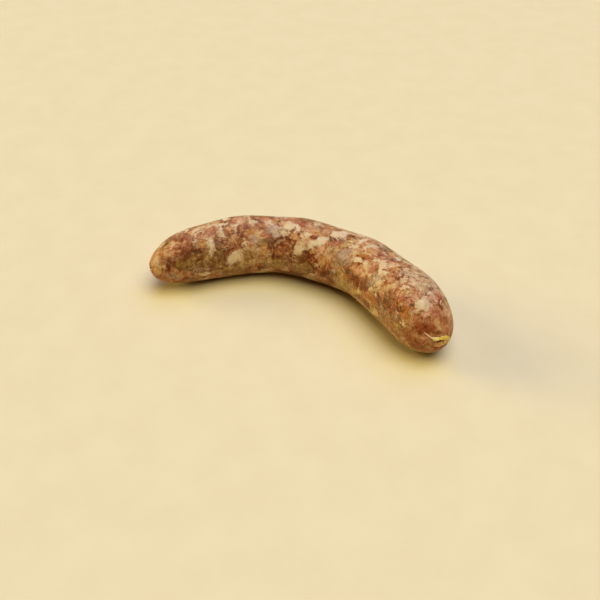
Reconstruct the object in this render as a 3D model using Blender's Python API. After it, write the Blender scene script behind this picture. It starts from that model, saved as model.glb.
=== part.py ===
"""One raw, coarse-ground sausage link in a natural casing, lying on its side.

The link is a closed skin of revolution bent along a level, curved axis.  It is
made from one UV sphere whose poles become the two ends: a vertex's height on
the sphere says how far along the axis it goes, its longitude says where round
the girth it goes.  The underside is pressed flat where the link lies.

Metres, +Z up.  +X runs from end to end, +Y is the outer (convex) side of the
bend, z = 0 is the surface the link lies on.  The origin is at the middle of
the footprint's box.
"""

import math

import bmesh
import bpy
from mathutils import Vector

MM = 0.001

# ---------------------------------------------------------------- sizes, mm
AXIS_LENGTH = 201.0             # end to end, measured along the curved axis
GIRTH_RADII = (16.4, 16.4, 16.6, 16.5, 16.8, 17.5, 16.6)   # evenly spaced, thin to thick end
BENDS = (2.0, 8.0, 15.0, 10.0, 13.0, 3.0, 0.0)             # turn per metre, evenly spaced
THIN_END_ROUNDING = 42.0        # how far from its tip the thin end starts to close
THICK_END_ROUNDING = 26.0
ROUNDING_POWER = 2.2            # 2 would be an ellipse, more is blunter
SETTLE = 0.9                    # how far the underside is pressed flat
THIN_END_DROOP = 1.3            # how far each tip sinks below the axis
THICK_END_DROOP = 1.5
PUCKER_DEPTH = 1.1              # dimple where the casing is twisted shut
PUCKER_RADIUS = 3.2

# The packed meat swells and slackens under the casing in a gentle wave along
# each of four lines that run the length of the link.  A line's key is its place
# round the girth in degrees, from the top (0) towards the outer side of the
# bend (90).  Its sizes are the wave's height, its pitch from one swell to the
# next, and how far its first swell is from the thin end.
SWELL_WAVES = {
    40: (0.5, 38.0, 16.0),
    130: (0.2, 45.0, 30.0),
    220: (0.35, 50.0, 3.0),
    310: (0.2, 40.0, 15.0),
}

# ---------------------------------------------------------------- mesh steps
SEGMENTS = 40                   # round the girth
RINGS = 96                      # along the link
AXIS_STEPS = 1200               # steps used to trace the curved axis

CASING_COLOUR = (0.374, 0.188, 0.077, 1.0)


def between(values, u):
    """Smooth (Catmull-Rom) value at u = 0..1 of evenly spaced sizes."""
    place = min(max(u, 0.0), 1.0) * (len(values) - 1)
    i = min(int(place), len(values) - 2)
    f = place - i
    before = values[max(i - 1, 0)]
    here, there = values[i], values[i + 1]
    after = values[min(i + 2, len(values) - 1)]
    return 0.5 * (
        2 * here
        + (there - before) * f
        + (2 * before - 5 * here + 4 * there - after) * f * f
        + (3 * here - before - 3 * there + after) * f ** 3
    )


def straight_between(values, u):
    """Straight-line value at u = 0..1 of evenly spaced sizes."""
    place = min(max(u, 0.0), 1.0) * (len(values) - 1)
    i = min(int(place), len(values) - 2)
    return values[i] + (values[i + 1] - values[i]) * (place - i)


def end_rounding(gap, reach):
    """1 away from a tip, falling to 0 at the tip along a blunt ellipse."""
    rest = min(max(1.0 - gap / reach, 0.0), 1.0)
    return math.sqrt(max(1.0 - rest ** ROUNDING_POWER, 0.0))


def girth_radius(s):
    """Radius of the link at s mm along the axis, before the swellings."""
    return (
        between(GIRTH_RADII, s / AXIS_LENGTH)
        * end_rounding(s, THIN_END_ROUNDING)
        * end_rounding(AXIS_LENGTH - s, THICK_END_ROUNDING)
    )


def axis_height(s):
    """Height of the axis above the surface, with the soft ends drooping."""
    near = max(1.0 - s / THIN_END_ROUNDING, 0.0)
    far = max(1.0 - (AXIS_LENGTH - s) / THICK_END_ROUNDING, 0.0)
    return (
        between(GIRTH_RADII, s / AXIS_LENGTH)
        - SETTLE
        - THIN_END_DROOP * near ** 2
        - THICK_END_DROOP * far ** 2
    )


def trace_axis():
    """Points (x, y) and headings of the level axis, in mm and radians.

    The axis is traced by adding up its bends, then turned so that its two
    tips lie along X with the convex side towards +Y, and moved so that the
    middle of its footprint is about at the origin.
    """
    step = AXIS_LENGTH / AXIS_STEPS
    headings, points = [0.0], [(0.0, 0.0)]
    for i in range(AXIS_STEPS):
        a = headings[-1]
        turn = straight_between(BENDS, (i + 0.5) / AXIS_STEPS) * MM * step
        middle = a - turn / 2
        x, y = points[-1]
        points.append((x + step * math.cos(middle), y + step * math.sin(middle)))
        headings.append(a - turn)
    swing = math.atan2(points[-1][1], points[-1][0])
    c, s = math.cos(swing), math.sin(swing)
    points = [(c * x + s * y, c * y - s * x) for x, y in points]
    headings = [a - swing for a in headings]
    radii = [girth_radius(i * step) for i in range(AXIS_STEPS + 1)]
    left = min(p[0] - r for p, r in zip(points, radii))
    right = max(p[0] + r for p, r in zip(points, radii))
    inner = min(p[1] - r for p, r in zip(points, radii))
    outer = max(p[1] + r for p, r in zip(points, radii))
    middle_x, middle_y = (left + right) / 2, (inner + outer) / 2
    return [(x - middle_x, y - middle_y) for x, y in points], headings


def swelling(s, degrees):
    """Height in mm that the packed meat adds at this place on the skin."""
    total = 0.0
    for line, (height, pitch, first) in SWELL_WAVES.items():
        away = (degrees - line + 180.0) % 360.0 - 180.0
        if abs(away) < 90.0:
            share = math.cos(math.radians(away)) ** 2
            total += share * height * math.cos(2 * math.pi * (s - first) / pitch)
    return total


def skin_point(s, degrees, points, headings):
    """Place on the skin, in mm, at s along the axis and degrees round it."""
    place = min(max(s / AXIS_LENGTH, 0.0), 1.0) * AXIS_STEPS
    i = min(int(place), AXIS_STEPS - 1)
    f = place - i
    x = points[i][0] + (points[i + 1][0] - points[i][0]) * f
    y = points[i][1] + (points[i + 1][1] - points[i][1]) * f
    heading = headings[i] + (headings[i + 1] - headings[i]) * f
    forward = Vector((math.cos(heading), math.sin(heading), 0.0))
    outward = Vector((-math.sin(heading), math.cos(heading), 0.0))

    radius = girth_radius(s)
    fullness = radius / between(GIRTH_RADII, s / AXIS_LENGTH)
    radius += swelling(s, degrees) * fullness
    a = math.radians(degrees)
    spot = Vector((x, y, axis_height(s)))
    spot += radius * (math.sin(a) * outward + math.cos(a) * Vector((0, 0, 1)))

    dimple = PUCKER_DEPTH * math.exp(-((radius / PUCKER_RADIUS) ** 2))
    if s < THIN_END_ROUNDING / 2:
        spot += forward * dimple
    elif AXIS_LENGTH - s < THICK_END_ROUNDING / 2:
        spot -= forward * dimple
    spot.z = max(spot.z, 0.0)
    return spot


def casing_material():
    material = bpy.data.materials.new("raw_sausage_casing")
    material.use_nodes = True
    shader = material.node_tree.nodes["Principled BSDF"]
    shader.inputs["Base Color"].default_value = CASING_COLOUR
    shader.inputs["Roughness"].default_value = 0.42
    shader.inputs["Metallic"].default_value = 0.0
    return material


def sausage_link(collection):
    points, headings = trace_axis()
    bm = bmesh.new()
    bmesh.ops.create_uvsphere(bm, u_segments=SEGMENTS, v_segments=RINGS, radius=1.0)
    for vert in bm.verts:
        x, y, z = vert.co
        s = AXIS_LENGTH * (1.0 - max(-1.0, min(1.0, z))) / 2.0
        degrees = math.degrees(math.atan2(y, x))
        vert.co = skin_point(s, degrees, points, headings) * MM

    # the swells shift the outline a little, so the footprint is centred last
    across = [vert.co.x for vert in bm.verts]
    along = [vert.co.y for vert in bm.verts]
    shift = Vector((-(min(across) + max(across)) / 2, -(min(along) + max(along)) / 2, 0.0))
    bmesh.ops.translate(bm, verts=bm.verts, vec=shift)
    bmesh.ops.recalc_face_normals(bm, faces=bm.faces)
    mesh = bpy.data.meshes.new("sausage_link")
    bm.to_mesh(mesh)
    bm.free()
    mesh.shade_smooth()
    mesh.materials.append(casing_material())
    link = bpy.data.objects.new("sausage_link", mesh)
    collection.objects.link(link)
    return link


for obj in list(bpy.data.objects):
    bpy.data.objects.remove(obj, do_unlink=True)
link_collection = bpy.data.collections.new("sausage_link")
bpy.context.scene.collection.children.link(link_collection)
sausage_link(link_collection)
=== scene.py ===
"""Looks of one raw, coarse-ground sausage link in a natural casing.

The skin repeats the CAD link's sizes and functions on a fine mesh, then adds
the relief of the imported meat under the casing, the pleats at both ends, the
dried tail and gathered lip of casing at the thick end and the small knot at
the thin end.  The meat's pattern is modelled as pieces
of lean, fat, sinew and gristle laid on the skin; each vertex stores how deep
it lies inside each kind, and the material's nodes turn that into colour, with
finer grain, fibres and mottling of their own.
"""

import math

import bmesh
import bpy
import numpy as np
from mathutils import Matrix, Vector


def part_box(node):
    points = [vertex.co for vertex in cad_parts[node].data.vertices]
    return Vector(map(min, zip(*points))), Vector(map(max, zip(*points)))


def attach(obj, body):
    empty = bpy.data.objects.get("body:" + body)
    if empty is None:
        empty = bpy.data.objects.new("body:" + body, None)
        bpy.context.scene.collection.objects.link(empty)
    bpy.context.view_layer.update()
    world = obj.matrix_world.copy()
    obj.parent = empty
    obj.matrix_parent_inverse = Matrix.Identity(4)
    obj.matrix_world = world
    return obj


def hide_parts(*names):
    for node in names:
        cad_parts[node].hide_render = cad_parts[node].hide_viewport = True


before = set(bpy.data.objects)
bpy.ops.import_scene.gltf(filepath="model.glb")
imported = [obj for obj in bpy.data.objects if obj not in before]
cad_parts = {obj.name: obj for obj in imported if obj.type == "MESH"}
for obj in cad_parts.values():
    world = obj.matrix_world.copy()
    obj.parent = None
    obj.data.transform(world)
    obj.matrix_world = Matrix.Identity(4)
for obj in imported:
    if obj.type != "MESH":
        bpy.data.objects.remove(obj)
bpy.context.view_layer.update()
LOW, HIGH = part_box("sausage_link")

MM = 0.001

# ------------------------------------------------------------------ the link
# Sizes in mm, the same as in the CAD model.
AXIS_LENGTH = 201.0
GIRTH_RADII = (16.4, 16.4, 16.6, 16.5, 16.8, 17.5, 16.6)
BENDS = (2.0, 8.0, 15.0, 10.0, 13.0, 3.0, 0.0)
THIN_END_ROUNDING = 42.0
THICK_END_ROUNDING = 26.0
ROUNDING_POWER = 2.2
SETTLE = 0.9
THIN_END_DROOP = 1.3
THICK_END_DROOP = 1.5
PUCKER_DEPTH = 1.1
PUCKER_RADIUS = 3.2
SWELL_WAVES = {
    40: (0.5, 38.0, 16.0),
    130: (0.2, 45.0, 30.0),
    220: (0.35, 50.0, 3.0),
    310: (0.2, 40.0, 15.0),
}
AXIS_STEPS = 1200

GIRTH_STEPS = 208               # skin mesh, round the girth
LENGTH_STEPS = 456              # skin mesh, along the link


def between(values, u):
    """Smooth (Catmull-Rom) value at u = 0..1 of evenly spaced sizes."""
    v = np.asarray(values, float)
    place = np.clip(u, 0.0, 1.0) * (len(v) - 1)
    i = np.minimum(place.astype(int), len(v) - 2)
    f = place - i
    p0, p1, p2 = v[np.maximum(i - 1, 0)], v[i], v[i + 1]
    p3 = v[np.minimum(i + 2, len(v) - 1)]
    return 0.5 * (
        2 * p1
        + (p2 - p0) * f
        + (2 * p0 - 5 * p1 + 4 * p2 - p3) * f * f
        + (3 * p1 - p0 - 3 * p2 + p3) * f ** 3
    )


def end_rounding(gap, reach):
    rest = np.clip(1.0 - gap / reach, 0.0, 1.0)
    return np.sqrt(np.clip(1.0 - rest ** ROUNDING_POWER, 0.0, 1.0))


def body_radius(s):
    return between(GIRTH_RADII, s / AXIS_LENGTH)


def girth_radius(s):
    return (
        body_radius(s)
        * end_rounding(s, THIN_END_ROUNDING)
        * end_rounding(AXIS_LENGTH - s, THICK_END_ROUNDING)
    )


def axis_height(s):
    near = np.clip(1.0 - s / THIN_END_ROUNDING, 0.0, None)
    far = np.clip(1.0 - (AXIS_LENGTH - s) / THICK_END_ROUNDING, 0.0, None)
    return body_radius(s) - SETTLE - THIN_END_DROOP * near ** 2 - THICK_END_DROOP * far ** 2


def trace_axis():
    step = AXIS_LENGTH / AXIS_STEPS
    u = (np.arange(AXIS_STEPS) + 0.5) / AXIS_STEPS
    turn = np.interp(u, np.linspace(0, 1, len(BENDS)), BENDS) * MM * step
    heading = -np.concatenate([[0.0], np.cumsum(turn)])
    middle = heading[:-1] - turn / 2
    x = np.concatenate([[0.0], np.cumsum(step * np.cos(middle))])
    y = np.concatenate([[0.0], np.cumsum(step * np.sin(middle))])
    swing = math.atan2(y[-1], x[-1])
    c, s = math.cos(swing), math.sin(swing)
    return c * x + s * y, c * y - s * x, heading - swing


AXIS_S = np.linspace(0.0, AXIS_LENGTH, AXIS_STEPS + 1)
AXIS_X, AXIS_Y, AXIS_HEADING = trace_axis()


def swelling(s, degrees):
    total = np.zeros(np.broadcast(s, degrees).shape)
    for line, (height, pitch, first) in SWELL_WAVES.items():
        away = (degrees - line + 180.0) % 360.0 - 180.0
        share = np.where(np.abs(away) < 90.0, np.cos(np.radians(away)) ** 2, 0.0)
        total = total + share * height * np.cos(2 * np.pi * (s - first) / pitch)
    return total


def skin(s, degrees, proud=0.0):
    """Places on the skin in mm (before centring), proud mm outside the plain form."""
    s = np.asarray(s, float)
    degrees = np.asarray(degrees, float)
    x, y = np.interp(s, AXIS_S, AXIS_X), np.interp(s, AXIS_S, AXIS_Y)
    heading = np.interp(s, AXIS_S, AXIS_HEADING)
    plain = girth_radius(s)
    full = plain / body_radius(s)
    radius = plain + swelling(s, degrees) * full
    a = np.radians(degrees)
    # the surface's own outward direction, for the relief
    ds = 0.05
    slope = (girth_radius(np.minimum(s + ds, AXIS_LENGTH)) - girth_radius(np.maximum(s - ds, 0.0))) / (
        np.minimum(s + ds, AXIS_LENGTH) - np.maximum(s - ds, 0.0)
    )
    tilt = np.arctan(slope)
    out = radius + proud * np.cos(tilt)
    along = -proud * np.sin(tilt)
    along = along + np.where(s < THIN_END_ROUNDING / 2, 1.0, 0.0) * PUCKER_DEPTH * np.exp(
        -((radius / PUCKER_RADIUS) ** 2)
    )
    along = along - np.where(AXIS_LENGTH - s < THICK_END_ROUNDING / 2, 1.0, 0.0) * PUCKER_DEPTH * np.exp(
        -((radius / PUCKER_RADIUS) ** 2)
    )
    px = x + out * np.sin(a) * -np.sin(heading) + along * np.cos(heading)
    py = y + out * np.sin(a) * np.cos(heading) + along * np.sin(heading)
    pz = axis_height(s) + out * np.cos(a)
    return np.stack([px, py, pz], -1)


def centring():
    """Shift in mm that puts the plain form's box on the CAD node's box."""
    phi = np.linspace(0.0, np.pi, 400)
    s = AXIS_LENGTH * (1 - np.cos(phi)) / 2
    p = skin(s[:, None], np.linspace(-180, 180, 361)[None, :]).reshape(-1, 3)
    cad = (np.array(LOW) + np.array(HIGH)) / 2 / MM
    mid = (p.min(0) + p.max(0)) / 2
    return np.array([cad[0] - mid[0], cad[1] - mid[1], 0.0])


SHIFT = centring()


def frame_at(s, degrees):
    """Place, along-direction and round-direction on the skin (mm)."""
    e = 0.2
    here = skin(s, degrees) + SHIFT
    s0, s1 = max(s - e, 0.0), min(s + e, AXIS_LENGTH)
    along = skin(s1, degrees) - skin(s0, degrees)
    round_ = skin(s, degrees + 1.0) - skin(s, degrees - 1.0)
    along = along / (np.linalg.norm(along) + 1e-12)
    round_ = round_ - along * float(round_ @ along)
    round_ = round_ / (np.linalg.norm(round_) + 1e-12)
    return here, along, round_


# ------------------------------------------------------------------ noise
def _gradients():
    rng = np.random.RandomState(11)
    g = rng.normal(size=(256, 3))
    return g / np.linalg.norm(g, axis=1, keepdims=True)


GRADIENTS = _gradients()


def noise(points, size, seed=0, octaves=1):
    """Smooth gradient noise of about -1..1 at the places, features size mm across."""
    total = np.zeros(len(points))
    amount, weight = 1.0, 0.0
    scale = 1.0 / size
    for octave in range(octaves):
        p = points * scale + seed * 17.31 + octave * 5.77
        cell = np.floor(p).astype(np.int64)
        f = p - cell
        w = f * f * f * (f * (f * 6 - 15) + 10)
        value = np.zeros(len(points))
        for cx in (0, 1):
            for cy in (0, 1):
                for cz in (0, 1):
                    ix, iy, iz = cell[:, 0] + cx, cell[:, 1] + cy, cell[:, 2] + cz
                    h = (ix * 73856093) ^ (iy * 19349663) ^ (iz * 83492791) ^ (seed * 2654435)
                    h = (h ^ (h >> 13)) * 1274126177
                    g = GRADIENTS[(h ^ (h >> 16)) & 255]
                    d = f - np.array([cx, cy, cz])
                    share = (
                        (w[:, 0] if cx else 1 - w[:, 0])
                        * (w[:, 1] if cy else 1 - w[:, 1])
                        * (w[:, 2] if cz else 1 - w[:, 2])
                    )
                    value += share * (g * d).sum(1)
        total += amount * value * 1.7
        weight += amount
        amount *= 0.5
        scale *= 2.03
    return total / weight


def smooth(x, low, high):
    t = np.clip((x - low) / (high - low), 0.0, 1.0)
    return t * t * (3 - 2 * t)


# ------------------------------------------------------------------ mesh grid
def skin_mesh(name):
    """A UV sphere whose rings are spread evenly over the skin."""
    bm = bmesh.new()
    bmesh.ops.create_uvsphere(bm, u_segments=GIRTH_STEPS, v_segments=LENGTH_STEPS, radius=1.0)
    mesh = bpy.data.meshes.new(name)
    bm.to_mesh(mesh)
    bm.free()
    co = np.empty(len(mesh.vertices) * 3)
    mesh.vertices.foreach_get("co", co)
    co = co.reshape(-1, 3)
    polar = np.arccos(np.clip(co[:, 2], -1, 1)) / np.pi
    degrees = np.degrees(np.arctan2(co[:, 1], co[:, 0]))

    t = np.linspace(0, np.pi, 6001)
    s = AXIS_LENGTH * (1 - np.cos(t)) / 2
    r = girth_radius(s)
    run = np.concatenate([[0], np.cumsum(np.hypot(np.diff(s), np.diff(r)))])
    # polar 0 is the sphere's top, which becomes the thin end
    s_of = np.interp(polar * run[-1], run, s)
    return mesh, s_of, degrees, polar


MESH, S, DEG, POLAR = skin_mesh("link_skin")
PLAIN = skin(S, DEG) + SHIFT
N = len(S)

# the grain of the meat is stirred: places are shifted before pieces are laid
WARP = np.stack([noise(PLAIN, 7.0, seed=k, octaves=2) for k in (1, 2, 3)], -1) * 1.5
WARP += np.stack([noise(PLAIN, 2.6, seed=k) for k in (4, 5, 6)], -1) * 0.45
STIRRED = PLAIN + WARP


def warp_at(place):
    p = np.asarray(place, float)[None, :]
    w = np.array([noise(p, 7.0, seed=k, octaves=2)[0] for k in (1, 2, 3)]) * 1.5
    w += np.array([noise(p, 2.6, seed=k)[0] for k in (4, 5, 6)]) * 0.45
    return w


# towards both ends the filling is finer and plainer: 1 at the tips, 0 from 20 mm in
QUIET = np.clip(np.maximum(1.0 - S / 20.0, 1.0 - (AXIS_LENGTH - S) / 20.0), 0.0, 1.0)
QUIET = QUIET * QUIET * (3.0 - 2.0 * QUIET)


# ------------------------------------------------------------------ pieces
# kinds of meat: dark to tan lean, dun (yellow-brown) and rosy lean, greyish
# sinew, orange spiced fat, white to tan fat, and dark gaps and peppercorns
LEAN, DUN, ROSE, SINEW, EMBER, FAT, PIT = "lean", "dun", "rose", "sinew", "ember", "fat", "pit"
LAID = (DUN, ROSE, SINEW, EMBER, FAT, PIT)     # all that lies on top of the lean
FAR = -9.0


def piece_field(rng, s, degrees, half_long, half_wide, tilt, wobble=0.22):
    """(vertex indices near the piece, depth inside it, places along and across it), in mm."""
    here, along, round_ = frame_at(s, degrees)
    here = here + warp_at(here)
    reach = max(half_long, half_wide) * 1.9 + 1.0
    d = STIRRED - here
    near = np.nonzero((d * d).sum(1) < reach * reach)[0]
    shape = [wobble * rng.normal() / (k ** 0.7) for k in (2, 3, 4, 5)]
    turns = rng.uniform(0, 6.283, 4)
    if not len(near):
        return near, None, None, None
    d = d[near]
    c, sn = math.cos(math.radians(tilt)), math.sin(math.radians(tilt))
    u = d @ (along * c + round_ * sn)
    w = d @ (round_ * c - along * sn)
    theta = np.arctan2(w / half_wide, u / half_long)
    edge = np.ones(len(near))
    for k, height, turn in zip((2, 3, 4, 5), shape, turns):
        edge += height * np.cos(k * theta + turn)
    edge = np.clip(edge, 0.45, 1.7)
    r = np.hypot(u / half_long, w / half_wide) / edge
    depth = (1.0 - r) * min(half_long, half_wide)
    return near, depth, u, w


def scatter(rng, count):
    """Random places spread evenly over the skin's area: (s, degrees)."""
    t = np.linspace(0, np.pi, 3001)
    s = AXIS_LENGTH * (1 - np.cos(t)) / 2
    r = girth_radius(s)
    area = np.concatenate([[0], np.cumsum(np.hypot(np.diff(s), np.diff(r)) * (r[1:] + r[:-1]) / 2)])
    u = (np.arange(count) + rng.uniform(0, 1, count)) / count
    places = np.interp(u * area[-1], area, s)
    rng.shuffle(places)
    return np.stack([places, rng.uniform(-180, 180, count)], -1)


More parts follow.
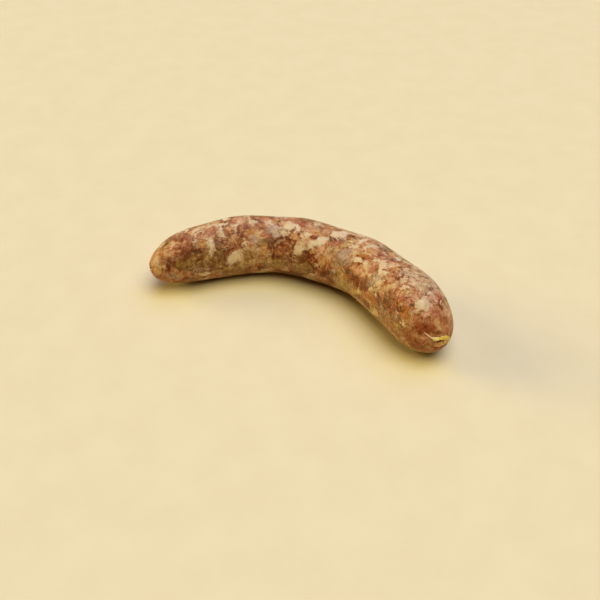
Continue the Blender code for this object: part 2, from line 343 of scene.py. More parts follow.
# Pieces that can be told apart on the upper and inner sides, in mm on the
# skin: (s along the axis, degrees round, half length, half width, tilt, kind,
# tone 0..1).  The rest of the skin is filled by the same kinds at random.
PLACED = (
    # broad grounds, laid first
    (25, -38, 8, 6, 10, LEAN, 0.15),
    (33, -86, 9, 4, 0, DUN, 0.05),
    (20, -12, 6, 5, 30, LEAN, 0.2),
    (44, -88, 7, 4, -10, DUN, 0.15),
    (41, -36, 6, 5, 0, LEAN, 0.25),
    (36, -62, 6, 4, 10, DUN, 0.1),
    (18, -68, 9.5, 3.5, -20, DUN, 0.1),
    (10, -48, 3.5, 2.5, -5, LEAN, 0.3),
    (20, -29, 4.5, 3.5, -40, LEAN, 0.35),
    (4, -15, 5, 3.5, 55, LEAN, 0.8),
    (31, -18, 3.5, 2.5, 0, LEAN, 0.5),
    (48, -99, 9, 4, -10, DUN, 0.3),
    (59, -81, 6, 5, -10, DUN, 0.5),
    (56, -20, 4, 4, -80, LEAN, 0.4),
    (47, -51, 5, 2.5, -5, LEAN, 0.2),
    (67, -35, 3.5, 3, -5, LEAN, 0.75),
    (83, -63, 7.5, 5, 10, LEAN, 0.3),
    (78, -93, 7, 4.5, 5, DUN, 0.35),
    (96, -95, 8.5, 4, 5, DUN, 0.35),
    (96, -4, 5, 4, -30, LEAN, 0.65),
    (132, -93, 9, 7, 5, DUN, 0.5),
    (137, -1, 7, 4.5, -5, LEAN, 0.8),
    (138, -48, 3.5, 3, 15, LEAN, 0.5),
    (149, -66, 8, 3.5, 35, LEAN, 0.25),
    (163, -19, 4.5, 4, 10, LEAN, 0.5),
    (172, -57, 8.5, 4, -10, LEAN, 0.35),
    (180, -13, 4.5, 3, 45, LEAN, 0.6),
    (194, -41, 6.5, 5.5, 45, LEAN, 0.45),
    (192, 37, 8.5, 3, -20, LEAN, 0.8),
    (184, -80, 6.5, 3, -25, DUN, 0.4),
    (194, -97, 6, 5, -20, LEAN, 0.4),
    # thin end
    (3, -60, 3.5, 2.5, 50, EMBER, 0.95),
    (6, -56, 3.5, 1, 60, DUN, 0.75),
    (8, -61, 3.5, 1, 65, LEAN, 0.1),
    (14, -6, 3.5, 1.5, -15, LEAN, 0.9),
    (23, 15, 2.5, 1.5, 75, SINEW, 0.5),
    (26, -1, 2.5, 1, 75, EMBER, 0.55),
    (30, 3, 3.5, 2, 40, FAT, 0.35),
    (34, 8, 3, 1.5, -5, FAT, 0.4),
    (26, -31, 2.5, 1, 80, FAT, 0.3),
    (30, -37, 3.5, 2.5, -10, EMBER, 0.4),
    (35, -43, 4.5, 2, 80, FAT, 0.55),
    (38, -10, 2.5, 1.5, 75, ROSE, 0.35),
    (26, -49, 3.5, 1, -20, PIT, 0.5),
    (24, -58, 4, 2, -10, DUN, 0.2),
    (4, -25, 3, 2, 60, FAT, 0.1),
    (30, -67, 2, 1.5, -25, DUN, 0.5),
    (25, -91, 4.5, 1.5, -10, SINEW, 0.15),
    (10, -96, 3, 1.5, -25, SINEW, 0.25),
    (23, -108, 3, 1.5, -15, DUN, 0.3),
    (32, -93, 2.5, 1.5, -85, LEAN, 0.2),
    # between the thin end and the bend
    (44, -1, 3.5, 2, 10, FAT, 0.3),
    (43, -21, 4, 1.5, -80, FAT, 0.35),
    (55, -3, 3, 2, 20, LEAN, 0.75),
    (50, -42, 3, 2, 30, LEAN, 0.7),
    (48, -15, 2, 1.5, 85, EMBER, 0.85),
    (52, -15, 3.5, 1, 65, FAT, 0.4),
    (55, 9, 2.5, 2, -20, ROSE, 0.8),
    (59, 0, 4.5, 1, 85, LEAN, 0.4),
    (68, 5, 2, 1.5, -80, ROSE, 0.55),
    (61, -30, 2.5, 2, -20, EMBER, 0.35),
    (48, -52, 2, 2, -10, LEAN, 0.05),
    (40, -50, 3, 1.5, -5, LEAN, 0.25),
    (54, -46, 1.5, 1.5, 85, EMBER, 0.3),
    (60, -64, 3.5, 1, -10, FAT, 0.1),
    (48, -75, 5.5, 3, 25, FAT, 0.75),
    (38, -102, 3.5, 1, 0, DUN, 0.6),
    (55, -98, 3, 1.5, -25, DUN, 0.65),
    (66, -108, 2, 1.5, 85, LEAN, 0.15),
    (65, -55, 0.7, 0.7, 0, PIT, 0.9),
    # the bend
    (77, -25, 6, 4, -20, SINEW, 0.6),
    (72, -6, 2.5, 2, -80, FAT, 0.45),
    (80, 15, 2, 1.5, -80, SINEW, 1),
    (84, -10, 4, 3.5, -65, FAT, 0.45),
    (82, -29, 2.5, 1.5, -10, FAT, 0.3),
    (89, 3, 4, 3, -70, ROSE, 0.35),
    (98, 12, 3.5, 1.5, -60, FAT, 0.35),
    (90, -36, 2, 1.5, 0, EMBER, 0.7),
    (94, -29, 3, 1, -70, FAT, 0.5),
    (100, -13, 2.5, 2, -60, EMBER, 0.55),
    (107, -3, 2.5, 2, -10, LEAN, 0.9),
    (105, -33, 6, 2.5, 45, FAT, 0.85),
    (94, -55, 4.5, 3, 35, FAT, 0.5),
    (100, -64, 3, 2.5, 20, LEAN, 0.1),
    (100, -56, 1, 0.7, 15, PIT, 0.9),
    (102, -51, 0.7, 0.7, 0, PIT, 0.8),
    (108, -56, 4.5, 1, 60, ROSE, 0.95),
    (112, -64, 2.5, 2, 55, EMBER, 0.75),
    (96, -76, 2.5, 1.5, 85, DUN, 0.05),
    (89, -85, 3.5, 1.5, -80, LEAN, 0.05),
    (74, -54, 3.5, 1.5, -90, LEAN, 0.1),
    (79, -50, 2.5, 1, 30, FAT, 0.05),
    (85, -49, 2.5, 1, -50, ROSE, 0.85),
    (88, -57, 3, 1, 70, FAT, 0.05),
    (81, -62, 2.5, 1, -70, ROSE, 0.8),
    (86, -69, 3, 1, 60, DUN, 0.8),
    (71, -37, 2.5, 1.5, 0, ROSE, 0.6),
    (74, -85, 2.5, 1.5, 80, DUN, 0.8),
    (114, -94, 3.5, 2, 40, LEAN, 0.05),
    # past the bend
    (113, -1, 3.5, 3.5, -75, FAT, 0.5),
    (116, 8, 4.5, 2.5, -60, FAT, 0.5),
    (116, 35, 2.5, 1.5, -20, SINEW, 0.2),
    (116, -23, 2.5, 2, 5, ROSE, 0.4),
    (125, -40, 6, 4, 45, SINEW, 0.5),
    (124, -54, 2, 1.5, 15, SINEW, 0.1),
    (130, -63, 0.7, 0.7, 30, PIT, 0.9),
    (124, -67, 4, 1, 20, LEAN, 0.4),
    (128, -16, 3, 1.5, 25, FAT, 0.5),
    (124, -5, 2, 1.5, 25, DUN, 1),
    (132, 19, 3, 2, 85, ROSE, 0.55),
    (135, 4, 2, 1, 45, FAT, 0.4),
    (138, -5, 2.5, 2, 55, EMBER, 0.5),
    (136, -24, 3.5, 2, 0, EMBER, 0.35),
    (131, -26, 3, 2, 30, FAT, 0.1),
    (141, -49, 3, 2, 20, ROSE, 0.6),
    (128, -51, 3, 2, 10, SINEW, 0.3),
    (146, -19, 2.5, 1.5, 0, FAT, 0.5),
    (143, -37, 3.5, 2, -20, FAT, 0.4),
    (152, -21, 5.5, 2.5, -30, FAT, 0.45),
    (148, -33, 3.5, 2, -75, ROSE, 0.5),
    (155, -22, 1, 0.7, 5, PIT, 0.8),
    (157, -27, 2, 1.5, 45, FAT, 0.4),
    (154, -54, 2.5, 2, 10, SINEW, 0.35),
    (135, -73, 3, 1.5, 30, EMBER, 0.2),
    (120, -87, 3, 1.5, 30, DUN, 0.35),
    (144, -90, 4.5, 2, 45, DUN, 0.7),
    (158, -75, 3.5, 2, 35, EMBER, 0.1),
    (160, -59, 3, 1, 30, FAT, 0.1),
    (160, -45, 2, 1.5, 20, FAT, 0.2),
    # towards the thick end
    (150, 40, 6, 2, 20, FAT, 0.15),
    (160, 32, 7, 2, 15, FAT, 0.2),
    (172, 38, 7, 2, -15, FAT, 0.1),
    (132, 36, 6, 2, 10, FAT, 0.2),
    (180, 48, 5, 2.5, -25, LEAN, 0.85),
    (161, 20, 5, 1, 55, FAT, 0.3),
    (165, 13, 6, 1, 50, FAT, 0.35),
    (169, 7, 6, 1, 50, FAT, 0.35),
    (173, 12, 5, 1, 45, FAT, 0.3),
    (168, 24, 5, 1, 55, DUN, 0.95),
    (144, 6, 2, 1.5, -40, FAT, 0.4),
    (140, 21, 3, 1.5, -15, SINEW, 0.3),
    (146, 20, 3, 1.5, -20, EMBER, 0.6),
    (152, 18, 3, 2, -45, FAT, 0.4),
    (158, 18, 3, 2, -15, LEAN, 0.4),
    (159, -6, 2, 2, 30, EMBER, 0.6),
    (163, 8, 3, 1.5, 45, FAT, 0.3),
    (166, 10, 4, 1, 35, DUN, 0.9),
    (170, -14, 2, 1.5, 75, FAT, 0.35),
    (175, -2, 2.5, 1.5, 50, FAT, 0.4),
    (173, 22, 2.5, 2, -50, LEAN, 0.85),
    (166, -44, 2.5, 1, 30, FAT, 0.2),
    (168, -30, 3, 1.5, 45, FAT, 0.15),
    (176, -23, 2.5, 1.5, 40, DUN, 0.7),
    (176, -52, 3.5, 2, -45, LEAN, 0.3),
    (168, -53, 2.5, 1.5, 30, LEAN, 0.3),
    (166, -69, 2, 2, -80, LEAN, 0.15),
    (161, -79, 3, 2, 45, EMBER, 0.1),
    (159, -96, 2.5, 1.5, -60, DUN, 0.7),
    # thick end
    (183, 28, 3.5, 2.5, -50, ROSE, 0.4),
    (183, 13, 3, 1.5, -5, FAT, 0.3),
    (189, -25, 3, 2, 55, FAT, 0.3),
    (187, -14, 4, 3, 70, FAT, 0.45),
    (191, -20, 3, 1.5, 70, ROSE, 0.9),
    (186, 12, 3, 2, 40, ROSE, 0.75),
    (177, 17, 3, 2, 45, FAT, 0.1),
    (194, -72, 3, 2, 0, LEAN, 0.75),
    (178, 5, 3.5, 2.5, 30, FAT, 0.05),
    (184, -31, 1, 0.7, 25, PIT, 0.9),
    (185, -50, 4, 2.5, 80, EMBER, 0.15),
    (84, -62, 4, 3, 20, LEAN, 0.45),
    (191, -1, 3.5, 2, 20, ROSE, 0.5),
    (196, -4, 3, 1, -25, LEAN, 1),
    (196, 30, 2.5, 2, -55, LEAN, 0.45),
    (197, -66, 2, 1.5, 20, ROSE, 0.65),
    (198, -98, 2, 1, 45, PIT, 0.3),
    (199, -14, 3, 1, 65, LEAN, 0.2),
    (200, -98, 3, 1, -25, EMBER, 0.3),
    (188, 40, 3, 2, -40, DUN, 0.5),
)

# how the unplaced pieces are made: kind, how many, half length, width as a
# share of length, tone
RECIPE = (
    (DUN, 90, (2.0, 6.5), (0.35, 0.8), (0.05, 0.8)),
    (ROSE, 80, (1.4, 4.0), (0.35, 0.8), (0.3, 0.9)),
    (SINEW, 60, (1.6, 4.6), (0.45, 0.9), (0.1, 0.9)),
    (EMBER, 80, (1.2, 3.2), (0.4, 0.9), (0.2, 0.9)),
    (FAT, 230, (1.6, 4.4), (0.35, 0.8), (0.1, 0.7)),
    (PIT, 120, (0.8, 2.4), (0.25, 0.5), (0.3, 0.6)),
    (PIT, 30, (0.5, 0.8), (0.8, 1.0), (0.8, 1.0)),
)


def lay_lean():
    """Lean pieces tile the whole skin: tone, marbling and grain of each."""
    rng = np.random.RandomState(5)
    best, second = np.full(N, FAR), np.full(N, FAR)
    tone, second_tone = np.full(N, 0.5), np.full(N, 0.5)
    marbled = np.full(N, 0.5)
    grain = np.zeros((N, 3))
    for n, (s, deg) in enumerate(scatter(rng, 620)):
        long_ = rng.uniform(2.4, 6.5)
        wide = long_ * rng.uniform(0.35, 0.8)
        tilt = rng.uniform(-90, 90)
        value, share = rng.beta(1.6, 1.9), rng.uniform()
        near, depth, u, w = piece_field(rng, s, deg, long_, wide, tilt)
        if not len(near):
            continue
        b1, b2, t1, t2 = best[near], second[near], tone[near], second_tone[near]
        win, place = depth > b1, (depth > b2) & (depth <= b1)
        second[near] = np.where(win, b1, np.where(place, depth, b2))
        second_tone[near] = np.where(win, t1, np.where(place, value, t2))
        best[near] = np.where(win, depth, b1)
        tone[near] = np.where(win, value, t1)
        marbled[near] = np.where(win, share, marbled[near])
        local = np.stack([u * 0.3, w, np.full(len(u), n * 3.7)], -1)
        grain[near] = np.where(win[:, None], local, grain[near])
    share = 0.5 + 0.5 * np.clip((best - second) / 1.2, 0, 1)
    return tone * share + second_tone * (1 - share), marbled, grain


def lay_pieces():
    lean_tone, marbled, grain = lay_lean()
    lean_tone = lean_tone + (0.60 - lean_tone) * 0.6 * QUIET
    held = {k: np.full(N, FAR) for k in LAID}
    best = {k: np.full(N, FAR) for k in LAID}
    tone = {k: np.full(N, 0.5) for k in LAID}
    cover = np.full(N, FAR)

    # placed pieces: the later one lies over the earlier one
    rng = np.random.RandomState(8)
    for s, deg, long_, wide, tilt, kind, value in PLACED:
        near, depth, u, w = piece_field(rng, s, deg, long_, wide, tilt, wobble=0.12)
        if not len(near):
            continue
        if kind == PIT:
            depth = depth * 2.4
        cover[near] = np.maximum(cover[near], depth)
        share = smooth(depth, -0.7, 0.5)
        if kind == LEAN:
            lean_tone[near] = lean_tone[near] * (1 - share) + value * share
        for k in LAID:
            if k == kind:
                tone[k][near] = tone[k][near] * (1 - share) + value * share
                held[k][near] = np.maximum(held[k][near], depth)
            else:
                held[k][near] = np.minimum(held[k][near], -depth)

    # random pieces elsewhere
    rng = np.random.RandomState(21)
    for kind, count, sizes, shapes, tones in RECIPE:
        for s, deg in scatter(rng, count):
            long_ = sizes[0] + (sizes[1] - sizes[0]) * rng.uniform() ** 1.8
            wide = long_ * rng.uniform(*shapes)
            tilt = rng.uniform(-90, 90)
            value = rng.uniform(*tones)
            near, depth, u, w = piece_field(rng, s, deg, long_, wide, tilt)
            if not len(near):
                continue
            free = depth - 4.0 * smooth(cover[near], -0.6, 0.8) - 1.5 * QUIET[near]
            share = smooth(free, -0.7, 0.5)
            for k in LAID:
                if k == kind:
                    tone[k][near] = tone[k][near] * (1 - share) + value * share
                    best[k][near] = np.maximum(best[k][near], free)
                else:
                    best[k][near] = np.minimum(best[k][near], -free)
    for k in LAID:
        best[k] = np.clip(np.maximum(best[k], held[k]), -2.0, 2.5)
    return best, tone, lean_tone, marbled, grain, smooth(cover, -0.8, 0.5)


BEST, TONE, LEAN_TONE, MARBLED, GRAIN, CALM = lay_pieces()


# ------------------------------------------------------------------ relief
def pucker_shade():
    """1 in the folds where the casing is gathered at each twist, where the colour gets painted shade."""
    shade = np.zeros(N)
    for end_s, count, reach in ((0.0, 9, 2.0), (AXIS_LENGTH, 11, 3.2)):
        away = np.linalg.norm(PLAIN - (skin(end_s, 0.0) + SHIFT), axis=1)
        wave = 0.5 + 0.5 * np.cos(np.radians(DEG) * count + 2.0 * np.sin(np.radians(DEG) * 2) + away)
        shade += np.exp(-((away / reach) ** 4)) * (0.35 + 0.65 * wave)
    return np.clip(shade, 0, 1)


PUCKER_SHADE = pucker_shade()


def relief():
    """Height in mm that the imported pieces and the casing's folds add."""
    high = 0.10 * noise(PLAIN, 6.0, seed=31, octaves=2) + 0.05 * noise(PLAIN, 2.0, seed=32)
    high += 0.16 * smooth(BEST[FAT], -0.3, 0.9) + 0.08 * smooth(BEST[SINEW], -0.3, 0.9)
    high -= 0.16 * smooth(BEST[PIT], -0.4, 0.5)
    high -= 0.06
    # pleats where the casing is gathered at the two ends
    for end_s, count, reach, fold in ((0.0, 11, 5.0, 0.20), (AXIS_LENGTH, 13, 7.0, 0.26)):
        centre = skin(end_s, 0.0) + SHIFT
        away = np.linalg.norm(PLAIN - centre, axis=1)
        drift = 0.5 * noise(PLAIN, 5.0, seed=41)
        wave = np.cos(np.radians(DEG) * count + drift * 4 + 1.3 * np.sin(np.radians(DEG) * 3))
        gather = np.exp(-((away / reach) ** 2)) * smooth(away, 0.2, 2.2)
        high += fold * wave * gather
    return high


HEIGHT = relief()
PLACE = skin(S, DEG, HEIGHT) + SHIFT
# the underside is pressed flat, with a small round where it lifts
PLACE[:, 2] = np.where(PLACE[:, 2] < 0.0, 0.0, PLACE[:, 2])
MESH.vertices.foreach_set("co", (PLACE * MM).ravel())


def store(name, values, kind="FLOAT"):
    layer = MESH.attributes.new(name, kind, "POINT")
    layer.data.foreach_set("value" if kind == "FLOAT" else "vector", np.asarray(values, np.float32).ravel())


for kind in LAID:
    store(kind, BEST[kind])
    store(kind + "_tone", TONE[kind])
store("lean_tone", LEAN_TONE)
store("marbled", MARBLED)
store("calm", CALM)
store("quiet", QUIET)
store("pucker_shade", PUCKER_SHADE)
store("grain", GRAIN, "FLOAT_VECTOR")


def unroll():
    """UV map for baking: the skin unrolled along and round the link."""
    mesh = MESH
    loops = np.empty(len(mesh.loops), int)
    mesh.loops.foreach_get("vertex_index", loops)
    starts = np.empty(len(mesh.polygons), int)
    counts = np.empty(len(mesh.polygons), int)
    mesh.polygons.foreach_get("loop_start", starts)
    mesh.polygons.foreach_get("loop_total", counts)
    face = np.repeat(np.arange(len(starts)), counts)
    order = np.argsort(starts, kind="stable")
    assert (order == np.arange(len(starts))).all()
    u = POLAR[loops]
    v = (DEG[loops] + 180.0) / 360.0
    pole = (u < 1e-6) | (u > 1 - 1e-6)
    v_ = np.where(pole, np.nan, v)
    top = np.full(len(starts), -1.0)
    low = np.full(len(starts), 2.0)
    np.fmax.at(top, face, v_)
    np.fmin.at(low, face, v_)
    wraps = (top - low)[face] > 0.5
    v_ = np.where(wraps & (v_ < 0.5), v_ + 1.0, v_)
    total = np.zeros(len(starts))
    seen = np.zeros(len(starts))
    np.add.at(total, face, np.nan_to_num(v_))
    np.add.at(seen, face, ~pole)
    v_ = np.where(pole, (total / seen)[face], v_)
    uv = np.stack([0.004 + 0.992 * u, 0.004 + 0.992 * v_], -1)
    layer = mesh.uv_layers.new(name="OFBake")
    layer.data.foreach_set("uv", uv.astype(np.float32).ravel())


unroll()
MESH.shade_smooth()
LINK = bpy.data.objects.new("link_skin", MESH)
bpy.context.scene.collection.objects.link(LINK)


# ------------------------------------------------------------------ materials
class Nodes:
    """Short ways to add and join shader nodes."""

    def __init__(self, name):
        self.material = bpy.data.materials.new(name)
        self.material.use_nodes = True
        self.tree = self.material.node_tree
        self.shader = self.tree.nodes["Principled BSDF"]

    def add(self, kind, **settings):
        node = self.tree.nodes.new(kind)
        for key, value in settings.items():
            setattr(node, key, value)
        return node

    def link(self, a, b):
        self.tree.links.new(a, b)

    def put(self, socket, value):
        if isinstance(value, bpy.types.NodeSocket):
            self.link(value, socket)
        else:
            socket.default_value = value

    def math(self, operation, a, b=0.0, c=0.0, clamp=False):
        node = self.add("ShaderNodeMath", operation=operation, use_clamp=clamp)
        for socket, value in zip(node.inputs, (a, b, c)):
            self.put(socket, value)
        return node.outputs[0]

    def attribute(self, name, out="Fac"):
        return self.add("ShaderNodeAttribute", attribute_name=name).outputs[out]

    def noise(self, vector, scale, detail=2.0, rough=0.55, distort=0.0):
        node = self.add("ShaderNodeTexNoise")
        self.put(node.inputs["Vector"], vector)
        node.inputs["Scale"].default_value = scale
        node.inputs["Detail"].default_value = detail
        node.inputs["Roughness"].default_value = rough
        node.inputs["Distortion"].default_value = distort
        return node.outputs["Fac"]

    def ramp(self, value, low, high, clamp=True):
        node = self.add("ShaderNodeMapRange", interpolation_type="SMOOTHSTEP")
        self.put(node.inputs["Value"], value)
        node.inputs["From Min"].default_value = low
        node.inputs["From Max"].default_value = high
        return node.outputs["Result"]

    def spread(self, value, low, high, to_low, to_high):
        node = self.add("ShaderNodeMapRange", interpolation_type="LINEAR")
        self.put(node.inputs["Value"], value)
        node.inputs["From Min"].default_value = low
        node.inputs["From Max"].default_value = high
        node.inputs["To Min"].default_value = to_low
        node.inputs["To Max"].default_value = to_high
        return node.outputs["Result"]

    def colours(self, value, stops):
        node = self.add("ShaderNodeValToRGB")
        node.color_ramp.interpolation = "LINEAR"
        band = node.color_ramp.elements
        while len(band) > 1:
            band.remove(band[-1])
        band[0].position, band[0].color = stops[0][0], (*stops[0][1], 1)
        for at, colour in stops[1:]:
            band.new(at).color = (*colour, 1)
        self.put(node.inputs["Fac"], value)
        return node.outputs["Color"]

    def mix(self, fac, a, b, blend="MIX"):
        node = self.add("ShaderNodeMix", data_type="RGBA", blend_type=blend)
        self.put(node.inputs["Factor"], fac)
        for socket, value in ((node.inputs[6], a), (node.inputs[7], b)):
            self.put(socket, value if isinstance(value, bpy.types.NodeSocket) else (*value, 1))
        return node.outputs[2]


def meat_material():
    n = Nodes("raw_sausage_skin")
    place = n.add("ShaderNodeTexCoord").outputs["Object"]
    grain = n.attribute("grain", "Vector")

    broad = n.noise(place, 110.0, detail=2.0)
    medium = n.noise(place, 260.0, detail=2.0, distort=0.8)
    fine = n.noise(place, 560.0, detail=2.0, distort=0.8)      # about 2 mm mottling
    finer = n.noise(place, 1900.0, detail=2.0)
    flecks = n.noise(place, 450.0, detail=2.5, rough=0.6, distort=1.2)
    fibre = n.noise(grain, 0.9, detail=2.5, rough=0.55, distort=0.6)

    def total(start, *shares):
        """start plus each texture (0.5 is its middle) times its share."""
        for texture, amount in shares:
            start = n.math("ADD", start, n.spread(texture, 0.25, 0.75, -amount, amount))
        return start

    # lean meat: tone of each piece, its fibres and a fine mince
    tone = total(0.0, (fibre, 0.48), (medium, 0.22), (fine, 0.24), (broad, 0.40))
    tone = n.math("MULTIPLY", tone, n.spread(n.attribute("quiet"), 0.0, 1.0, 1.0, 0.5))
    tone = n.math("ADD", tone, n.attribute("lean_tone"))
    lean = n.colours(
        n.math("MULTIPLY", tone, 0.78),
        (
            (0.00, (0.125, 0.022, 0.004)),
            (0.20, (0.240, 0.049, 0.011)),
            (0.40, (0.365, 0.105, 0.026)),
            (0.60, (0.505, 0.227, 0.088)),
            (0.80, (0.600, 0.359, 0.165)),
            (1.00, (0.700, 0.504, 0.265)),
        ),
    )
    edge = total(0.0, (flecks, 0.88), (fibre, 0.48), (medium, 0.45))
    edge = n.math("MULTIPLY", edge, n.spread(n.attribute("calm"), 0.0, 1.0, 1.0, 0.65))
    melt = n.spread(n.attribute("calm"), 0.0, 1.0, 0.92, 0.62)
    stir = total(0.0, (fine, 0.28), (medium, 0.26), (fibre, 0.32))

    # what lies on the lean, each with its own colours from dark to light
    colour = lean
    for kind, near, soft, dark, middle, light in (
        (DUN, 0.65, 0.60, (0.105, 0.040, 0.004), (0.338, 0.161, 0.038), (0.710, 0.484, 0.210)),
        (ROSE, 0.75, 0.45, (0.270, 0.047, 0.018), (0.430, 0.124, 0.050), (0.700, 0.367, 0.196)),
        (SINEW, 0.60, 0.70, (0.190, 0.084, 0.035), (0.415, 0.267, 0.176), (0.620, 0.413, 0.271)),
        (EMBER, 0.70, 0.50, (0.310, 0.079, 0.006), (0.465, 0.173, 0.036), (0.670, 0.367, 0.123)),
        (FAT, 0.75, 0.45, (0.500, 0.289, 0.109), (0.690, 0.485, 0.270), (0.765, 0.610, 0.390)),
    ):
        # a piece pales towards its middle
        middle_pale = n.spread(n.attribute(kind), -0.5, 2.0, -0.10, 0.16)
        shade = n.math("ADD", n.math("ADD", n.attribute(kind + "_tone"), middle_pale), stir)
        look = n.colours(shade, ((0.0, dark), (0.5, middle), (1.0, light)))
        depth = n.math("MULTIPLY", n.attribute(kind), near)
        within = n.ramp(n.math("MULTIPLY", n.math("ADD", depth, edge), melt), -soft, soft)
        colour = n.mix(within, colour, look)

    pit = n.ramp(n.math("ADD", n.attribute(PIT), n.math("MULTIPLY", edge, 0.4)), -0.5, 0.5)
    pit = n.math("MULTIPLY", pit, n.spread(n.attribute(PIT + "_tone"), 0.2, 0.9, 0.40, 0.92))
    colour = n.mix(pit, colour, (0.060, 0.022, 0.004))

    # filaments of fat and sinew that thread the lean
    thread = n.noise(grain, 0.75, detail=2.0, rough=0.5, distort=1.0)
    thread = n.math("ABSOLUTE", n.math("SUBTRACT", thread, 0.5))
    thread = n.math("SUBTRACT", 1.0, n.ramp(thread, 0.01, 0.07))
    thread = n.math("MULTIPLY", thread, n.ramp(n.math("ADD", n.attribute("marbled"), n.spread(flecks, 0.25, 0.75, -0.4, 0.4)), 0.15, 0.9))
    colour = n.mix(n.math("MULTIPLY", thread, 0.50), colour, (0.600, 0.389, 0.189))

    # painted shade: the colour is darkened towards the bottom, where the link rests and less light reaches it
    height = n.add("ShaderNodeSeparateXYZ")
    n.link(place, height.inputs["Vector"])
    for top, shade in ((0.0165, (0.70, 0.65, 0.59)), (0.0055, (0.55, 0.47, 0.40))):
        underside_shade = n.math("SUBTRACT", 1.0, n.ramp(height.outputs["Z"], 0.0005, top))
        colour = n.mix(underside_shade, colour, n.mix(1.0, colour, shade, "MULTIPLY"))

    # painted shade: dark red in the folds at the twists
    folds = n.ramp(n.math("ADD", n.attribute("pucker_shade"), n.spread(fine, 0.3, 0.7, -0.15, 0.15)), 0.25, 0.85)
    colour = n.mix(n.math("MULTIPLY", folds, 0.85), colour, (0.150, 0.026, 0.008))

    n.link(colour, n.shader.inputs["Base Color"])
    n.link(n.spread(fine, 0.2, 0.8, 0.42, 0.60), n.shader.inputs["Roughness"])
    n.shader.inputs["Specular IOR Level"].default_value = 0.22
    n.shader.inputs["Specular Tint"].default_value = (1.0, 0.84, 0.45, 1.0)
    n.shader.inputs["Coat Weight"].default_value = 0.05
    n.shader.inputs["Coat Roughness"].default_value = 0.34
    # the casing's milky bloom, seen where the skin turns away
    n.shader.inputs["Sheen Weight"].default_value = 0.28
    n.shader.inputs["Sheen Roughness"].default_value = 0.45
    n.shader.inputs["Sheen Tint"].default_value = (1.0, 0.86, 0.40, 1.0)
    n.shader.inputs["Subsurface Weight"].default_value = 0.22
    n.shader.inputs["Subsurface Radius"].default_value = (1.0, 0.35, 0.18)
    n.shader.inputs["Subsurface Scale"].default_value = 0.0015

    bump = n.add("ShaderNodeBump")
    bump.inputs["Strength"].default_value = 0.35
    bump.inputs["Distance"].default_value = 0.0004
    n.link(n.math("ADD", fine, n.math("MULTIPLY", finer, 0.5)), bump.inputs["Height"])
    n.link(bump.outputs["Normal"], n.shader.inputs["Normal"])
    return n.material


MESH.materials.append(meat_material())
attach(LINK, "root")
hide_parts("sausage_link")


# ------------------------------------------------------------------ casing ends
def on_end(across, up, lift, thick=True):
    """Places on an end's dome in mm: across and up from its twist, lift outwards."""
    gap = np.linspace(0.0, 20.0, 4001)
    s_line = AXIS_LENGTH - gap if thick else gap
    r = np.hypot(across, up)
    s = np.interp(r, girth_radius(s_line), s_line)
    return skin(s, np.degrees(np.arctan2(across, up)), lift) + SHIFT


def through(stops, t):
    """Smooth values at t = 0..1 of evenly spaced rows of numbers."""
    rows = np.asarray(stops, float)
    return np.stack([[between(list(rows[:, k]), v) for v in t] for k in range(rows.shape[1])], -1)


def casing_roll(name, stops, thick, seed, ridges=2.0, steps=150, around=28):
    """A strip of dried casing along stops of (across, up, lift, half width, half thickness)."""
    t = np.linspace(0.0, 1.0, steps)
    line = through(stops, t)
    centre = on_end(line[:, 0], line[:, 1], line[:, 2], thick)
    out = on_end(line[:, 0], line[:, 1], line[:, 2] + 0.5, thick) - centre
    out /= np.linalg.norm(out, axis=1, keepdims=True)
    way = np.gradient(centre, axis=0)
    way /= np.linalg.norm(way, axis=1, keepdims=True) + 1e-9
    side = np.cross(way, out)
    side /= np.linalg.norm(side, axis=1, keepdims=True) + 1e-9
    taper = np.sqrt(np.clip(1 - (2 * t - 1) ** 10, 0, 1))
    bm = bmesh.new()
    rings = []
    for i in range(1, steps - 1):
        ring = []
        for j in range(around):
            a = 2 * math.pi * j / around
            # lengthwise creases that wind slowly along the strip
            crease = 1 + 0.16 * math.cos(5 * a + ridges * 6.0 * t[i] + seed) + 0.10 * math.cos(3 * a - 9 * t[i])
            wide = line[i, 3] * taper[i] * (1 + 0.10 * math.sin(23 * t[i] + seed) + 0.07 * math.sin(51 * t[i]))
            flat = line[i, 4] * taper[i] * crease
            ring.append(bm.verts.new((centre[i] + side[i] * wide * math.cos(a) * (0.9 + 0.1 * crease)
                                      + out[i] * flat * math.sin(a)) * MM))
        rings.append(ring)
    for near, far in zip(rings, rings[1:]):
        for j in range(around):
            k = (j + 1) % around
            bm.faces.new((near[j], near[k], far[k], far[j]))
    for ring, tip in ((rings[0], centre[0]), (rings[-1], centre[-1])):
        point = bm.verts.new(tip * MM)
        for j in range(around):
            k = (j + 1) % around
            bm.faces.new((ring[k], ring[j], point) if ring is rings[0] else (ring[j], ring[k], point))
    bmesh.ops.recalc_face_normals(bm, faces=bm.faces)
    mesh = bpy.data.meshes.new(name)
    bm.to_mesh(mesh)
    bm.free()
    layer = mesh.attributes.new("run", "FLOAT", "POINT")
    run = np.repeat(t[1:-1], around).tolist() + [0.0, 1.0]
    layer.data.foreach_set("value", np.asarray(run, np.float32))
    mesh.shade_smooth()
    roll = bpy.data.objects.new(name, mesh)
    bpy.context.scene.collection.objects.link(roll)
    return roll


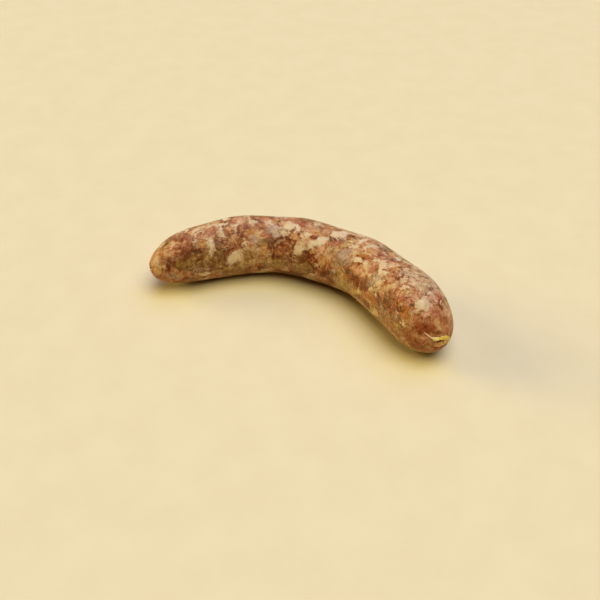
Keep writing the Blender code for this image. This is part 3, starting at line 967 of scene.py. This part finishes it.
def casing_material(name, stops, clear):
    """Dried casing: colour runs along the strip, with creases and thin clear spots."""
    n = Nodes(name)
    place = n.add("ShaderNodeTexCoord").outputs["Object"]
    mottle = n.noise(place, 1100.0, detail=3.0, distort=0.6)
    streak = n.noise(place, 420.0, detail=2.0)
    run = n.math("ADD", n.attribute("run"), n.spread(mottle, 0.3, 0.7, -0.035, 0.035))
    colour = n.colours(run, stops)
    darker = n.mix(1.0, colour, (0.62, 0.50, 0.40), "MULTIPLY")
    colour = n.mix(n.ramp(streak, 0.5, 0.72), colour, darker)
    paler = n.mix(1.0, colour, (0.85, 0.70, 0.42), "SCREEN")
    colour = n.mix(n.math("MULTIPLY", n.ramp(mottle, 0.56, 0.72), 0.35), colour, paler)
    n.link(colour, n.shader.inputs["Base Color"])
    n.link(n.spread(mottle, 0.2, 0.8, 0.26, 0.44), n.shader.inputs["Roughness"])
    n.shader.inputs["Subsurface Weight"].default_value = clear
    n.shader.inputs["Subsurface Radius"].default_value = (1.0, 0.7, 0.25)
    n.shader.inputs["Subsurface Scale"].default_value = 0.0008
    bump = n.add("ShaderNodeBump")
    bump.inputs["Strength"].default_value = 0.4
    bump.inputs["Distance"].default_value = 0.0002
    n.link(mottle, bump.inputs["Height"])
    n.link(bump.outputs["Normal"], n.shader.inputs["Normal"])
    return n.material


def casing_ends():
    """The dried tail and gathered lip at the thick end, the twisted knot at the thin end."""
    wisp, straw, ochre, brown = (0.80, 0.52, 0.29), (0.86, 0.73, 0.18), (0.78, 0.49, 0.06), (0.42, 0.17, 0.045)
    tail = casing_roll("casing_tail", (
        (-7.9, 6.6, 0.12, 0.16, 0.16),
        (-6.6, 5.6, 0.25, 0.36, 0.30),
        (-5.2, 4.6, 0.40, 0.42, 0.36),
        (-3.7, 3.9, 0.45, 0.80, 0.42),
        (-2.0, 3.6, 0.50, 0.95, 0.46),
        (-0.2, 3.3, 0.42, 0.95, 0.36),
        (1.6, 2.8, 0.36, 1.15, 0.34),
        (3.2, 2.1, 0.30, 1.25, 0.34),
        (4.4, 0.9, 0.28, 1.10, 0.34),
        (4.7, -0.9, 0.25, 0.70, 0.34),
        (4.0, -2.6, 0.10, 0.35, 0.24),
    ), True, 1.0)
    tail.data.materials.append(casing_material("dried_casing_tail", (
        (0.00, wisp), (0.22, wisp), (0.29, straw), (0.37, (0.90, 0.76, 0.30)), (0.45, ochre),
        (0.62, (0.82, 0.56, 0.10)), (0.78, (0.70, 0.42, 0.05)), (0.90, (0.62, 0.50, 0.08)),
        (1.00, (0.50, 0.36, 0.06))), 0.35))
    lip = casing_roll("casing_lip", (
        (-4.9, 1.6, -0.10, 0.50, 0.30),
        (-3.7, 0.6, 0.15, 1.00, 0.50),
        (-2.3, -0.2, 0.35, 1.25, 0.60),
        (-0.6, -0.4, 0.50, 1.60, 0.70),
        (1.0, -0.3, 0.50, 1.65, 0.70),
        (2.6, -0.3, 0.40, 1.30, 0.60),
        (4.0, -0.4, 0.05, 0.55, 0.34),
    ), True, 2.3)
    lip.data.materials.append(casing_material("gathered_casing_lip", (
        (0.00, brown), (0.22, (0.48, 0.20, 0.05)), (0.45, (0.56, 0.26, 0.07)), (0.65, (0.64, 0.35, 0.08)),
        (0.85, (0.66, 0.42, 0.09)), (1.00, (0.52, 0.32, 0.07))), 0.25))
    knot = casing_roll("casing_knot", (
        (-1.5, 0.9, -0.10, 0.30, 0.24),
        (-0.7, 0.5, 0.15, 0.70, 0.50),
        (0.1, -0.1, 0.30, 0.85, 0.60),
        (0.9, -0.6, 0.15, 0.70, 0.45),
        (2.0, -1.0, -0.05, 0.35, 0.25),
    ), False, 3.1, ridges=5.0)
    knot.data.materials.append(casing_material("twisted_casing_knot", (
        (0.00, (0.58, 0.30, 0.12)), (0.5, (0.72, 0.48, 0.18)), (1.00, (0.60, 0.34, 0.12))), 0.25))
    for piece in (tail, lip, knot):
        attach(piece, "root")


casing_ends()


# ------------------------------------------------------------------ the floor
def floor():
    bpy.ops.mesh.primitive_plane_add(size=8.0, location=(0, 0, -0.00015))
    sheet = bpy.context.object
    sheet.name = "floor"
    n = Nodes("pale_floor")
    place = n.add("ShaderNodeTexCoord").outputs["Object"]
    faint = n.noise(place, 45.0, detail=3.0)
    n.link(n.colours(faint, ((0.3, (0.775, 0.648, 0.382)), (0.7, (0.800, 0.674, 0.408)))),
           n.shader.inputs["Base Color"])
    n.shader.inputs["Roughness"].default_value = 0.9
    n.shader.inputs["Specular IOR Level"].default_value = 0.15
    sheet.data.materials.append(n.material)


floor()


# ------------------------------------------------------------------ light
def soft_light(name, towards, spread, colour, strength):
    """Even studio light from a far, wide source: towards is where it stands."""
    light = bpy.data.lights.new(name, "SUN")
    light.angle = math.radians(spread)
    light.energy = strength
    light.color = colour
    lamp = bpy.data.objects.new(name, light)
    lamp.location = towards
    lamp.rotation_mode = "QUATERNION"
    lamp.rotation_quaternion = (-Vector(towards)).to_track_quat("-Z", "Y")
    bpy.context.scene.collection.objects.link(lamp)
    return lamp


# a wide warm light overhead to the right, one low at the left, a cool fill overhead
soft_light("key", (0.34, -0.08, 1.22), 58.0, (0.735, 0.709, 0.470), 3.20)
soft_light("left", (-1.1, 0.0, 0.35), 29.0, (0.410, 0.345, 0.140), 4.60)
soft_light("cool", (0.05, 0.66, 1.15), 64.0, (0.120, 0.200, 0.600), 3.55)

world = bpy.data.worlds.new("studio")
world.use_nodes = True
world.node_tree.nodes["Background"].inputs["Color"].default_value = (0.070, 0.038, 0.018, 1.0)
world.node_tree.nodes["Background"].inputs["Strength"].default_value = 1.0
bpy.context.scene.world = world
bpy.context.scene.view_settings.view_transform = "Standard"


# ------------------------------------------------------------------ camera
def camera():
    yaw, pitch, roll = (math.radians(v) for v in (22.99, 39.96, -1.28))
    forward = Vector((-math.sin(yaw) * math.cos(pitch), math.cos(yaw) * math.cos(pitch), -math.sin(pitch)))
    level = Vector((math.cos(yaw), math.sin(yaw), 0.0))
    up = level.cross(forward)
    right = math.cos(roll) * level + math.sin(roll) * up
    top = -math.sin(roll) * level + math.cos(roll) * up
    data = bpy.data.cameras.new("camera")
    data.sensor_width = 36.0
    data.lens = 830.0 / 600.0 * 36.0
    data.clip_start, data.clip_end = 0.01, 50.0
    cam = bpy.data.objects.new("camera", data)
    turn = Matrix((right, top, -forward)).transposed()
    cam.matrix_world = Matrix.Translation(Vector((0.13765, -0.33765, 0.29945))) @ turn.to_4x4()
    bpy.context.scene.collection.objects.link(cam)
    bpy.context.scene.camera = cam


camera()
